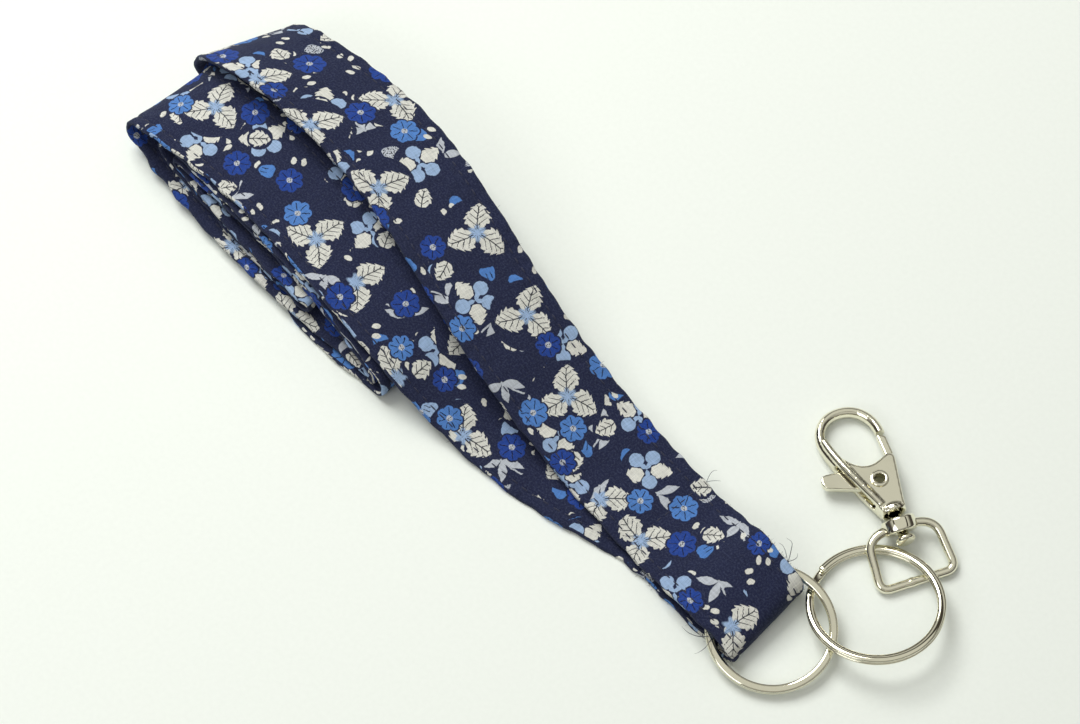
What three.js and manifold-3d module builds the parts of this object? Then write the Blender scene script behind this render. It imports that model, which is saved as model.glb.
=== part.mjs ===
// A rolled-up fabric lanyard strap with two split rings, a swivel D-ring and a lobster clasp.
// Units are millimetres and +Z is up. The strap lies along X, the roll at -X and the clasp at +X.
import * as THREE from 'three';
import { mergeVertices } from 'three/addons/utils/BufferGeometryUtils.js';
import Module from 'manifold-3d';

const wasm = await Module();
wasm.setup();

// Driving dimensions.
const STRAP_WIDTH = 25;
const STRAP_THICK = 1.4;
const THREAD_WIDE = 0.6;
const THREAD_HIGH = 0.25;
const THREAD_GAP = 0.2;
const STITCH_INSET = 3;
const FACE_GAP = 0.3;
const CROSS_SEAM_X = 48;
const RING_FOLD_NARROWING = 0.6;
const RING_FOLD_SKEW = 0.125;

const TURN_HIGH = 0.95;
const TURN_WIDE = 1.9;
const TURN_GAP = 0.06;
const SMALL_RING_R = 13.6;
const LARGE_RING_R = 14.4;

const D_WIRE_R = 1.05;
const EYE_R = 3.6;
const EYE_LONG = 3;
const EYE_HOLE_R = 2.1;
const POST_R = 1.25;
const HOOK_THICK = 4.8;
const SLOT_HIGH = 2.3;
const GATE_THICK = 1.8;
const RIVET_R = 1.6;
const RIVET_HOLE_R = 1.15;
const FIT = 0.15;

// The whole assembly is moved so that its bounding box stands centred on the origin.
const CENTRE = new THREE.Vector3(0.57, -4.75, 0);

const FLOOR = STRAP_THICK / 2;

// The strap's centre line, as control points of a closed cubic B-spline: x, y, z of the middle of
// the cloth. Every second one of the four passes through the roll lies inside its partner.
const INNER_LINING = [
  [-42, -22, 7.9], [-48, -22.4, 6.8], [-59, -23, 6.3], [-74, -23, 6.3], [-86, -22.6, 6.2],
  [-91.6, -22.4, 6.4], [-92, -22.3, 8.6], [-86, -22, 9.2], [-76, -21.2, 9.6], [-62, -20.2, 9.8],
  [-46, -20, 9.2], [-34, -20.2, 7.6], [-25, -20.6, 5.6],
];
const OUTER_LINING = [
  [-19.4, -21, 4.7], [-19.4, -21.2, 2.7], [-26, -21.5, 2.5], [-34, -22.5, 2.6], [-46, -24.4, 2.6],
  [-60, -25.6, 2.6], [-76, -26.4, 2.6], [-88, -26.2, 2.7], [-98, -25.6, 2.9],
  [-106.2, -25, 3.6], [-107.2, -24.4, 9], [-100, -23.4, 12],
];
const LOWER_RUN = [
  [-90, -21.8, 13], [-78, -20, 13.5], [-64, -19, 13.7], [-48, -19.2, 13.5], [-34, -19.4, 12.7],
  [-22, -19.4, 11.2], [-13, -18.8, 8], [-4, -17.6, 4], [6, -16.4, 1.5], [16, -15, 0.7],
  [28, -12.2, FLOOR], [38, -8.4, FLOOR], [47, -5.6, FLOOR], [56, -4.6, FLOOR], [64, -4.2, FLOOR],
];
const RING_FOLD = [
  [71, -4, FLOOR], [77, -4, 0.74], [82.2, -4, 0.6], [82.2, -4, 6.2], [77, -4, 6.8],
  [70, -4, 7.3], [63, -4, 5.7],
];
const UPPER_RUN = [
  [56, -4, 3.2], [50, -4, 2.6], [42, -4, 2.7], [30, -4, 2.8], [18, -3.8, 4.4], [6, -3.8, 7.8],
  [-7, -3.2, 12], [-22, -1.2, 15.6], [-38, 1.2, 18.4], [-54, 2.9, 19.5], [-70, 2.6, 19.4], [-84, 1.2, 18.8],
];
const OUTER_TURN = [
  [-94, -0.5, 17.2], [-101.5, -1.8, 14.6], [-106.6, -2.5, 9.6], [-106.3, -2.5, 3.9], [-100, -2.6, 1],
  [-92, -4, 0.72], [-82, -9, FLOOR], [-68, -17, FLOOR], [-52, -24, FLOOR],
  [-37, -25, FLOOR], [-25, -22.6, FLOOR],
];
const INNER_TURN = [
  [-16, -21.4, 0.8], [-15.4, -21, 6.6], [-23, -20.4, 7.8], [-34, -20, 9.7], [-46, -20, 11.2],
  [-62, -20.2, 11.7], [-76, -20.8, 11.5], [-87, -21.4, 11.1], [-97, -22, 10.5],
  [-98.8, -22.6, 4.8], [-90, -22.8, 4.4], [-74, -23.2, 4.4], [-58, -23, 4.4], [-47.5, -22.4, 4.3],
  [-42, -22, 4],
];

// Above the small ring the cloth leans with it: the rise of its +Y edge per millimetre of width.
const LEAN_AT_RING = 0.085;
// Where the outermost layer goes over the far end of the roll its +Y edge droops and lags.
const DROOP_AT_ROLL = 0.12;
const SKEW_AT_ROLL = 0.28;

const STRETCHES = {
  strap_roll_inner_lining: INNER_LINING,
  strap_roll_outer_lining: OUTER_LINING,
  strap_lower_run: LOWER_RUN,
  strap_ring_fold: RING_FOLD,
  strap_upper_run: UPPER_RUN,
  strap_roll_outer_turn: OUTER_TURN,
  strap_roll_inner_turn: INNER_TURN,
};
const ROUTE = Object.values(STRETCHES).flat();
const RUN_STEPS = 3;
const BEND_STEPS = 3;

// The station at which the outermost layer starts down over the far end of the roll.
const FAR_TURN = ROUTE.indexOf(OUTER_TURN[0]);

function control(index) {
  const count = ROUTE.length;
  return ROUTE[((index % count) + count) % count];
}

function splineWeights(u) {
  return [
    (1 - u) ** 3 / 6,
    (3 * u ** 3 - 6 * u ** 2 + 4) / 6,
    (-3 * u ** 3 + 3 * u ** 2 + 3 * u + 1) / 6,
    u ** 3 / 6,
  ];
}

function splineSlopes(u) {
  return [
    -((1 - u) ** 2) / 2,
    (3 * u ** 2 - 4 * u) / 2,
    (-3 * u ** 2 + 2 * u + 1) / 2,
    u ** 2 / 2,
  ];
}

function blended(t, weights) {
  const base = Math.floor(t);
  const sum = new THREE.Vector3();
  weights(t - base).forEach((w, k) => {
    sum.addScaledVector(new THREE.Vector3(...control(base - 1 + k)), w);
  });
  return sum;
}

const smooth = (from, to, value) => THREE.MathUtils.smoothstep(value, from, to);

// The strap's frame at a station: a point, the direction across the cloth and the side that faces
// into the loop.
function station(t) {
  const point = blended(t, splineWeights);
  const along = blended(t, splineSlopes).normalize();
  const rising = smooth(FAR_TURN - 4, FAR_TURN - 1, t);
  const droop = DROOP_AT_ROLL * rising * (1 - smooth(FAR_TURN, FAR_TURN + 3, t));
  const lag = SKEW_AT_ROLL * rising * (1 - smooth(FAR_TURN + 3, FAR_TURN + 7, t));
  const atRing = along.x < 0 ? smooth(52, 66, point.x) : 0;
  const lean = LEAN_AT_RING * atRing - droop;
  const across = new THREE.Vector3(0, 1, lean);
  across.addScaledVector(along, -across.dot(along)).normalize();
  const inward = new THREE.Vector3().crossVectors(along, across);
  across.x += lag - RING_FOLD_SKEW * smooth(62, 76, point.x);
  across.multiplyScalar(1 - (2 * RING_FOLD_NARROWING / STRAP_WIDTH) * smooth(68, 80, point.x));
  return { point, across, inward };
}

// A closed bar of rectangular section that follows the strap between two stations. The section
// spans low..high across the cloth and bottom..top along the inward direction.
function ribbon(start, end, [low, high], [bottom, top], steps) {
  const speed = (t) => blended(t, splineSlopes).length();
  const first = start + FACE_GAP / 2 / speed(start);
  const last = end - FACE_GAP / 2 / speed(end);
  const count = Math.max(2, Math.round((last - first) * steps));
  const corners = [[low, bottom], [high, bottom], [high, top], [low, top]];
  const positions = [];
  for (let i = 0; i <= count; i += 1) {
    const { point, across, inward } = station(first + ((last - first) * i) / count);
    for (const [side, height] of corners) {
      const corner = point.clone().addScaledVector(across, side).addScaledVector(inward, height);
      positions.push(corner.x, corner.y, corner.z);
    }
  }
  const index = [0, 2, 1, 0, 3, 2];
  for (let i = 0; i < count; i += 1) {
    for (let k = 0; k < 4; k += 1) {
      const a = 4 * i + k;
      const b = 4 * i + ((k + 1) % 4);
      index.push(a, b, a + 4, b, b + 4, a + 4);
    }
  }
  const end0 = 4 * count;
  index.push(end0, end0 + 1, end0 + 2, end0, end0 + 2, end0 + 3);
  const geometry = new THREE.BufferGeometry();
  geometry.setAttribute('position', new THREE.Float32BufferAttribute(positions, 3));
  geometry.setIndex(index);
  return geometry;
}

function solidOf(geometry) {
  const bare = geometry.clone();
  bare.deleteAttribute('normal');
  bare.deleteAttribute('uv');
  const merged = mergeVertices(bare, 1e-4);
  return new wasm.Manifold(new wasm.Mesh({
    numProp: 3,
    vertProperties: merged.attributes.position.array,
    triVerts: new Uint32Array(merged.index.array),
  }));
}

function geometryOf(solid) {
  const { vertProperties, triVerts } = solid.getMesh();
  const geometry = new THREE.BufferGeometry();
  geometry.setAttribute('position', new THREE.BufferAttribute(new Float32Array(vertProperties), 3));
  geometry.setIndex([...triVerts]);
  return geometry;
}

const finish = (color, roughness, metalness) => (
  new THREE.MeshStandardMaterial({ color, roughness, metalness })
);
const cloth = () => finish(0x1e2444, 0.9, 0);
const thread = () => finish(0x151a33, 0.8, 0);
const nickel = () => finish(0xc9c7bd, 0.2, 1);
const springSteel = () => finish(0x8e8e90, 0.35, 1);

function named(name, geometry, material) {
  const mesh = new THREE.Mesh(geometry, material);
  mesh.name = name;
  return mesh;
}

function oval(width, height, count) {
  const shape = new THREE.Shape();
  for (let i = 0; i < count; i += 1) {
    const angle = (2 * Math.PI * (i + 0.5)) / count;
    const place = [(width / 2) * Math.cos(angle), (height / 2) * Math.sin(angle)];
    if (i === 0) shape.moveTo(...place);
    else shape.lineTo(...place);
  }
  shape.closePath();
  return shape;
}

// The strap's cloth, one folded strip that runs as a closed loop, in stretches end to end.
function makeStrap() {
  const group = new THREE.Group();
  const half = STRAP_WIDTH / 2;
  const starts = {};
  let at = 0;
  for (const [name, points] of Object.entries(STRETCHES)) {
    starts[name] = at;
    const steps = name.endsWith('_run') ? RUN_STEPS : BEND_STEPS;
    const body = ribbon(at, at + points.length, [-half, half], [-FLOOR, FLOOR], steps);
    group.add(named(name, body, cloth()));
    at += points.length;
  }
  return { group, starts };
}

// A line of topstitching along each edge of the two runs that show.
function makeTopstitching(starts) {
  const group = new THREE.Group();
  const middle = STRAP_WIDTH / 2 - STITCH_INSET;
  const low = FLOOR + THREAD_GAP;
  const runs = {
    lower: [starts.strap_lower_run, starts.strap_ring_fold, [low, low + THREAD_HIGH]],
    upper: [starts.strap_upper_run, starts.strap_roll_outer_turn, [-low - THREAD_HIGH, -low]],
  };
  for (const [run, [start, end, heights]] of Object.entries(runs)) {
    for (const [side, sign] of [['left', -1], ['right', 1]]) {
      const sides = [sign * middle - THREAD_WIDE / 2, sign * middle + THREAD_WIDE / 2];
      const line = ribbon(start, end, sides, heights, RUN_STEPS);
      group.add(named(`topstitch_${run}_${side}`, line, thread()));
    }
  }
  return group;
}

// The row of stitches that sews the two layers together and closes the tunnel round the ring.
function makeCrossSeam(starts) {
  const half = STRAP_WIDTH / 2 - STITCH_INSET - THREAD_WIDE - FACE_GAP;
  const low = FLOOR + THREAD_GAP;
  let t = starts.strap_upper_run;
  while (station(t).point.x > CROSS_SEAM_X) t += 0.01;
  const { point, across, inward } = station(t);
  const bar = new THREE.BoxGeometry(THREAD_WIDE, 2 * half, THREAD_HIGH);
  const mesh = named('cross_seam', bar, thread());
  const along = new THREE.Vector3().crossVectors(across, inward);
  mesh.setRotationFromMatrix(new THREE.Matrix4().makeBasis(along, across, inward));
  mesh.position.copy(point).addScaledVector(inward, -low - THREAD_HIGH / 2);
  return mesh;
}

// A split ring: flat wire wound twice round, one turn on the other, with a short crossover.
class SplitRingCurve extends THREE.Curve {
  constructor(radius, crossover) {
    super();
    this.radius = radius;
    this.crossover = crossover;
  }

  getPoint(t, target = new THREE.Vector3()) {
    const angle = t * (4 * Math.PI - this.crossover - 2 * FACE_GAP / this.radius);
    const rise = smooth(2 * Math.PI - this.crossover, 2 * Math.PI, angle);
    const height = (rise - 0.5) * (TURN_HIGH + TURN_GAP);
    return target.set(this.radius * Math.cos(angle), this.radius * Math.sin(angle), height);
  }
}

function splitRing(radius) {
  const path = new SplitRingCurve(radius, 0.35);
  const shape = oval(TURN_HIGH * 1.06, TURN_WIDE * 1.06, 8);
  return new THREE.ExtrudeGeometry(shape, { steps: 84, bevelEnabled: false, extrudePath: path });
}

// A frame whose z axis is the normal of a plane with the given slopes, turned about that normal.
function planeFrame([x, y, z], [slopeX, slopeY], turn) {
  const group = new THREE.Group();
  group.position.set(x, y, z);
  const normal = new THREE.Vector3(-slopeX, -slopeY, 1).normalize();
  group.quaternion.setFromUnitVectors(new THREE.Vector3(0, 0, 1), normal);
  group.quaternion.multiply(
    new THREE.Quaternion().setFromAxisAngle(new THREE.Vector3(0, 0, 1), turn),
  );
  return group;
}

const SMALL_RING_AT = [83.3, -4, 3.42];
const SMALL_RING_SLOPE = [-0.088, 0.085];
const LARGE_RING_AT = [93.9, 17.1, 4.18];
const LARGE_RING_SLOPE = [0.198, -0.084];

function makeRings() {
  const small = planeFrame(SMALL_RING_AT, SMALL_RING_SLOPE, 2.9);
  small.add(named('small_split_ring', splitRing(SMALL_RING_R), nickel()));
  const large = planeFrame(LARGE_RING_AT, LARGE_RING_SLOPE, 3.75);
  large.add(named('large_split_ring', splitRing(LARGE_RING_R), nickel()));
  const group = new THREE.Group();
  group.add(small, large);
  return group;
}

// A frame whose x axis points along a heading in plan and rises with a slope, y level.
function headingFrame([x, y, z], heading, slope) {
  const group = new THREE.Group();
  const forward = new THREE.Vector3(Math.cos(heading), Math.sin(heading), slope).normalize();
  const side = new THREE.Vector3(-Math.sin(heading), Math.cos(heading), 0);
  const up = new THREE.Vector3().crossVectors(forward, side);
  group.setRotationFromMatrix(new THREE.Matrix4().makeBasis(forward, side, up));
  group.position.set(x, y, z);
  return group;
}

const EYE_AT = [83.6, 33.8, 4.08];
const HOOK_HEADING = THREE.MathUtils.degToRad(158.6);
const HOOK_SLOPE = -0.077;
const D_HEADING = HOOK_HEADING - Math.PI;
const D_SLOPE = -0.238;

// Revolves a profile of [axial, radius] pairs about the local x axis.
function revolved(profile, segments) {
  const points = profile.map(([axial, radius]) => new THREE.Vector2(radius, axial));
  const geometry = new THREE.LatheGeometry(points, segments);
  geometry.rotateZ(-Math.PI / 2);
  return geometry;
}

function solidEye() {
  const half = EYE_LONG / 2;
  return revolved([
    [-half, 0], [-half, EYE_R - 0.35], [-half + 0.35, EYE_R], [half - 0.35, EYE_R],
    [half, EYE_R - 0.35], [half, 0],
  ], 28);
}

// The D: a bent wire that starts and ends in the side of the eye. x runs from the eye to the bar.
function makeDRing() {
  const path = new THREE.CurvePath();
  const at = (x, y) => new THREE.Vector3(x, y, 0);
  const barX = 12.8;
  path.add(new THREE.CubicBezierCurve3(at(0.2, -2.9), at(0.4, -6.2), at(1.6, -8.1), at(4.6, -8.3)));
  path.add(new THREE.LineCurve3(at(4.6, -8.3), at(10.4, -8.7)));
  path.add(new THREE.QuadraticBezierCurve3(at(10.4, -8.7), at(barX, -8.8), at(barX, -6.4)));
  path.add(new THREE.LineCurve3(at(barX, -6.4), at(barX, 6.4)));
  path.add(new THREE.QuadraticBezierCurve3(at(barX, 6.4), at(barX, 8.8), at(10.4, 8.7)));
  path.add(new THREE.LineCurve3(at(10.4, 8.7), at(4.6, 8.3)));
  path.add(new THREE.CubicBezierCurve3(at(4.6, 8.3), at(1.6, 8.1), at(0.4, 6.2), at(0.2, 2.9)));
  const wire = new THREE.ExtrudeGeometry(oval(2 * D_WIRE_R, 2 * D_WIRE_R, 8), {
    steps: 46, bevelEnabled: false, extrudePath: path,
  });
  const bore = revolved([
    [-EYE_LONG, 0], [-EYE_LONG, EYE_HOLE_R], [EYE_LONG, EYE_HOLE_R], [EYE_LONG, 0],
  ], 28);
  const solid = solidOf(wire).add(solidOf(solidEye())).subtract(solidOf(bore));
  const frame = headingFrame(EYE_AT, D_HEADING, D_SLOPE);
  frame.add(named('swivel_d_ring', geometryOf(solid), nickel()));
  return frame;
}

const PIVOT = [11.3, -0.4];
const FOOT_X = 2.95;

// The clasp's cast body: a hooked loop on a forked plate with a round foot.
function hookBody() {
  const at = (x, y) => new THREE.Vector3(x, y, 0);
  const path = new THREE.CurvePath();
  path.add(new THREE.CubicBezierCurve3(at(23, 4.5), at(26.6, 4.7), at(30.9, 2.4), at(30.9, -2.6)));
  path.add(new THREE.CubicBezierCurve3(at(30.9, -2.6), at(30.9, -7.2), at(27, -9.4), at(23.2, -8.8)));
  path.add(new THREE.CubicBezierCurve3(at(23.2, -8.8), at(19.5, -8.2), at(14, -5.6), at(5, -1.9)));
  const loop = new THREE.ExtrudeGeometry(oval(3.1, 2.4, 10), {
    steps: 40, bevelEnabled: false, extrudePath: path,
  });
  const outline = new THREE.Shape();
  outline.moveTo(FOOT_X + 0.6, -2.7);
  outline.lineTo(FOOT_X + 0.6, 2.7);
  outline.lineTo(5.2, 2.9);
  outline.lineTo(15.2, 4.9);
  outline.quadraticCurveTo(16.9, 5.2, 16.9, 3.4);
  outline.bezierCurveTo(16, 1.5, 15.2, 0.2, 15.4, -1.6);
  outline.bezierCurveTo(15.7, -4, 17.6, -5.6, 20.4, -7);
  outline.lineTo(17.4, -7.7);
  outline.closePath();
  const bevel = 0.35;
  const plate = new THREE.ExtrudeGeometry(outline, {
    depth: HOOK_THICK - 2 * bevel, curveSegments: 5, bevelThickness: bevel, bevelSize: bevel,
    bevelOffset: -bevel, bevelSegments: 1,
  });
  plate.translate(0, 0, bevel - HOOK_THICK / 2);
  const foot = revolved([
    [FOOT_X, 0], [FOOT_X, 2.75], [FOOT_X + 0.4, 3], [FOOT_X + 1.3, 3], [FOOT_X + 1.9, 2.3],
    [FOOT_X + 3, 2.1], [FOOT_X + 3, 0],
  ], 24);
  const socket = revolved([
    [0, 0], [0, POST_R + FIT], [FOOT_X + 2.4, POST_R + FIT], [FOOT_X + 2.4, 0],
  ], 20);
  const slot = new THREE.BoxGeometry(12.2, 20, SLOT_HIGH);
  slot.translate(12, -3, 0);
  const hole = new THREE.CylinderGeometry(RIVET_R + FIT, RIVET_R + FIT, 8, 24);
  hole.rotateX(Math.PI / 2);
  hole.translate(...PIVOT, 0);
  return geometryOf(
    solidOf(loop).add(solidOf(plate)).add(solidOf(foot))
      .subtract(solidOf(slot)).subtract(solidOf(hole)).subtract(solidOf(socket)),
  );
}

// The gate: a rocker with the closing arm on one side of the rivet and the thumb lug on the other.
function gateLever() {
  const outline = new THREE.Shape();
  outline.moveTo(22.7, 3.4);
  outline.lineTo(22.4, 4.3);
  outline.lineTo(21.8, 5.3);
  outline.lineTo(17.3, 5.3);
  outline.lineTo(13, 3.2);
  outline.absarc(...PIVOT, 3.2, 1.1, 2.5, false);
  outline.absarc(...PIVOT, 3.2, 2.5, -1.9, false);
  outline.lineTo(13.2, -11);
  outline.quadraticCurveTo(13.6, -12.6, 15.2, -12.6);
  outline.quadraticCurveTo(17, -12.5, 16.9, -10.8);
  outline.lineTo(16.4, -6.4);
  outline.quadraticCurveTo(15.4, -3, 14.6, -1.2);
  outline.quadraticCurveTo(15, 1.2, 17.4, 3.4);
  outline.closePath();
  const bevel = 0.2;
  const blank = new THREE.ExtrudeGeometry(outline, {
    depth: GATE_THICK - 2 * bevel, curveSegments: 6, bevelThickness: bevel, bevelSize: bevel,
    bevelOffset: -bevel, bevelSegments: 1,
  });
  blank.translate(0, 0, bevel - GATE_THICK / 2);
  const round = (radius, depth, z) => {
    const cylinder = new THREE.CylinderGeometry(radius, radius, depth, 24);
    cylinder.rotateX(Math.PI / 2);
    cylinder.translate(...PIVOT, z);
    return solidOf(cylinder);
  };
  const recess = round(2.6, 2, 1 - GATE_THICK / 2 + 0.6);
  return geometryOf(solidOf(blank).subtract(round(RIVET_R + FIT, 8, 0)).subtract(recess));
}

// A wound spring of round wire, sitting in the gate's recess round the rivet.
class SpringCurve extends THREE.Curve {
  getPoint(t, target = new THREE.Vector3()) {
    const angle = t * 2 * Math.PI * 1.9;
    return target.set(2.15 * Math.cos(angle), 2.15 * Math.sin(angle), 0.5 * t);
  }
}

function makeHook() {
  const frame = headingFrame(EYE_AT, HOOK_HEADING, HOOK_SLOPE);
  frame.rotateX(Math.PI);
  frame.add(named('hook_body', hookBody(), nickel()));
  frame.add(named('gate_lever', gateLever(), nickel()));
  const half = HOOK_THICK / 2;
  const rivet = new THREE.LatheGeometry([
    [RIVET_HOLE_R, -half - 0.45], [2.1, -half - 0.45], [2.1, -half - FIT], [RIVET_R, -half - FIT],
    [RIVET_R, half + FIT], [2.1, half + FIT], [2.1, half + 0.45], [RIVET_HOLE_R, half + 0.45],
    [RIVET_HOLE_R, -half - 0.45],
  ].map(([radius, height]) => new THREE.Vector2(radius, height)), 24);
  rivet.rotateX(Math.PI / 2);
  const pin = named('gate_rivet', rivet, nickel());
  pin.position.set(...PIVOT, 0);
  const wire = new THREE.ExtrudeGeometry(oval(0.3, 0.3, 6), {
    steps: 40, bevelEnabled: false, extrudePath: new SpringCurve(),
  });
  const spring = named('gate_spring', wire, springSteel());
  spring.position.set(...PIVOT, 0.25);
  const post = named('swivel_post', revolved([
    [-4.4, 0], [-4.4, 1.8], [-4.1, 2.2], [-3.5, 2.2], [-3.2, 1.9], [-2.9, POST_R],
    [FOOT_X + 2.2, POST_R], [FOOT_X + 2.2, 0],
  ], 24), nickel());
  frame.add(pin, spring, post);
  return frame;
}

const keychain = new THREE.Group();
const strap = makeStrap();
keychain.add(strap.group, makeTopstitching(strap.starts), makeCrossSeam(strap.starts));
keychain.add(makeRings(), makeDRing(), makeHook());
keychain.position.copy(CENTRE);

export default keychain;
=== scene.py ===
import math

import bpy
import numpy as np
from mathutils import Matrix, Vector


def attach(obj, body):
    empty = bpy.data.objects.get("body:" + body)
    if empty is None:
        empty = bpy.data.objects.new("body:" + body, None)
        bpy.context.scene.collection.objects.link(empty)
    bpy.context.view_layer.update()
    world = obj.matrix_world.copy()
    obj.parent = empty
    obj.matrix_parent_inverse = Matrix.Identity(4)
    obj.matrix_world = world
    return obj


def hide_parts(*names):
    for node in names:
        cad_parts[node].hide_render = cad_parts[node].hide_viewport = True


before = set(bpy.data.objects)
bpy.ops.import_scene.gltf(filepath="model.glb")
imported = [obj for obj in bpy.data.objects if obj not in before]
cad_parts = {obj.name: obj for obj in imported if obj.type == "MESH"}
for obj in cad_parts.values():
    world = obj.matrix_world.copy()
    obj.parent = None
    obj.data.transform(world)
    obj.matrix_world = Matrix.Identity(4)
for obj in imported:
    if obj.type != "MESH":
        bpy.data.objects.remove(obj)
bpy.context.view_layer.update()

MM = 0.001
CENTRE = np.array([0.57, -4.75, 0.0])      # shift that centres the whole object, in mm

# ---------------------------------------------------------------- camera and lights

AZIMUTH, ELEVATION = math.radians(50), math.radians(64)
DISTANCE, LENS, SENSOR = 0.7, 102.0, 36.0


def place_camera():
    back = Vector((math.sin(AZIMUTH) * math.cos(ELEVATION),
                   -math.cos(AZIMUTH) * math.cos(ELEVATION), math.sin(ELEVATION)))
    data = bpy.data.cameras.new("camera")
    data.lens, data.sensor_width = LENS, SENSOR
    data.clip_start, data.clip_end = 0.01, 20
    camera = bpy.data.objects.new("camera", data)
    camera.location = Vector(CENTRE * MM) + back * DISTANCE
    camera.rotation_euler = (-back).to_track_quat("-Z", "Y").to_euler()
    bpy.context.scene.collection.objects.link(camera)
    bpy.context.scene.camera = camera


def area_light(name, place, target, size, power, colour):
    data = bpy.data.lights.new(name, "AREA")
    data.shape, data.size, data.energy, data.color = "SQUARE", size, power, colour
    light = bpy.data.objects.new(name, data)
    light.location = place
    aim = Vector(target) - Vector(place)
    light.rotation_euler = aim.to_track_quat("-Z", "Y").to_euler()
    bpy.context.scene.collection.objects.link(light)


def srgb(red, green, blue):
    def linear(c):
        c /= 255
        return c / 12.92 if c <= 0.04045 else ((c + 0.055) / 1.055) ** 2.4
    return (linear(red), linear(green), linear(blue), 1.0)


# ---------------------------------------------------------------- node arithmetic

class Wire:
    """A number in a node tree that can be added, multiplied and so on."""

    def __init__(self, tree, socket):
        self.tree, self.socket = tree, socket

    def op(self, operation, *others, clamp=False):
        node = self.tree.nodes.new("ShaderNodeMath")
        node.operation, node.use_clamp = operation, clamp
        for slot, item in zip(node.inputs, (self, *others)):
            if isinstance(item, Wire):
                self.tree.links.new(item.socket, slot)
            else:
                slot.default_value = item
        return Wire(self.tree, node.outputs[0])

    def __add__(self, other):
        return self.op("ADD", other)

    def __sub__(self, other):
        return self.op("SUBTRACT", other)

    def __mul__(self, other):
        return self.op("MULTIPLY", other)

    def __truediv__(self, other):
        return self.op("DIVIDE", other)

    def __pow__(self, other):
        return self.op("POWER", other)

    def __abs__(self):
        return self.op("ABSOLUTE")

    def sin(self):
        return self.op("SINE")

    def cos(self):
        return self.op("COSINE")

    def less(self, edge, soft=0.06):
        """1 where the value is below the edge, fading over a soft width in millimetres."""
        if not soft:
            return self.op("LESS_THAN", edge)
        return ((self - edge) / (-2 * soft) + 0.5).op("ADD", 0.0, clamp=True)

    def more(self, edge, soft=0.06):
        if not soft:
            return self.op("GREATER_THAN", edge)
        return ((self - edge) / (2 * soft) + 0.5).op("ADD", 0.0, clamp=True)


def length_of(x, y):
    return (x * x + y * y).op("SQRT")


def angle_of(x, y):
    return y.op("ARCTAN2", x)


def folded(angle, count):
    """The angle from the nearest of a number of equal spokes, and the spoke's number."""
    sector = 2 * math.pi / count
    turn = (angle + math.pi + sector / 2) / sector
    spoke = turn.op("FLOOR")
    return (turn - spoke - 0.5) * sector, spoke


def noise(tree, vector, scale, detail=2.0):
    node = tree.nodes.new("ShaderNodeTexNoise")
    node.inputs["Scale"].default_value = scale
    node.inputs["Detail"].default_value = detail
    tree.links.new(vector, node.inputs["Vector"])
    return Wire(tree, node.outputs["Fac"])


def vector_of(tree, x, y, z=0.0):
    node = tree.nodes.new("ShaderNodeCombineXYZ")
    for slot, item in zip(node.inputs, (x, y, z)):
        if isinstance(item, Wire):
            tree.links.new(item.socket, slot)
        else:
            slot.default_value = item
    return node.outputs[0]


def mixed(tree, base, colour, mask):
    """One colour laid over another where the mask is 1. Either may be a socket or four numbers."""
    node = tree.nodes.new("ShaderNodeMix")
    node.data_type = "RGBA"
    tree.links.new(mask.socket, node.inputs["Factor"])
    for name, item in (("A", base), ("B", colour)):
        slot = [s for s in node.inputs if s.name == name and s.type == "RGBA"][0]
        if isinstance(item, tuple):
            slot.default_value = item
        else:
            tree.links.new(item, slot)
    return [s for s in node.outputs if s.type == "RGBA"][0]


def new_material(name):
    material = bpy.data.materials.new(name)
    material.use_nodes = True
    tree = material.node_tree
    return material, tree, tree.nodes["Principled BSDF"]


def bump_into(tree, shader, height, distance, strength=1.0):
    node = tree.nodes.new("ShaderNodeBump")
    node.inputs["Distance"].default_value = distance
    node.inputs["Strength"].default_value = strength
    tree.links.new(height.socket, node.inputs["Height"])
    tree.links.new(node.outputs[0], shader.inputs["Normal"])


# ---------------------------------------------------------------- the printed cotton

NAVY = srgb(27, 33, 64)
CREAM = srgb(228, 227, 219)
PALE_BLUE = srgb(160, 186, 222)
CORNFLOWER = srgb(82, 132, 204)
ROYAL = srgb(30, 66, 152)
LINE = srgb(13, 15, 31)
GREY_WHITE = srgb(198, 203, 212)


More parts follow.
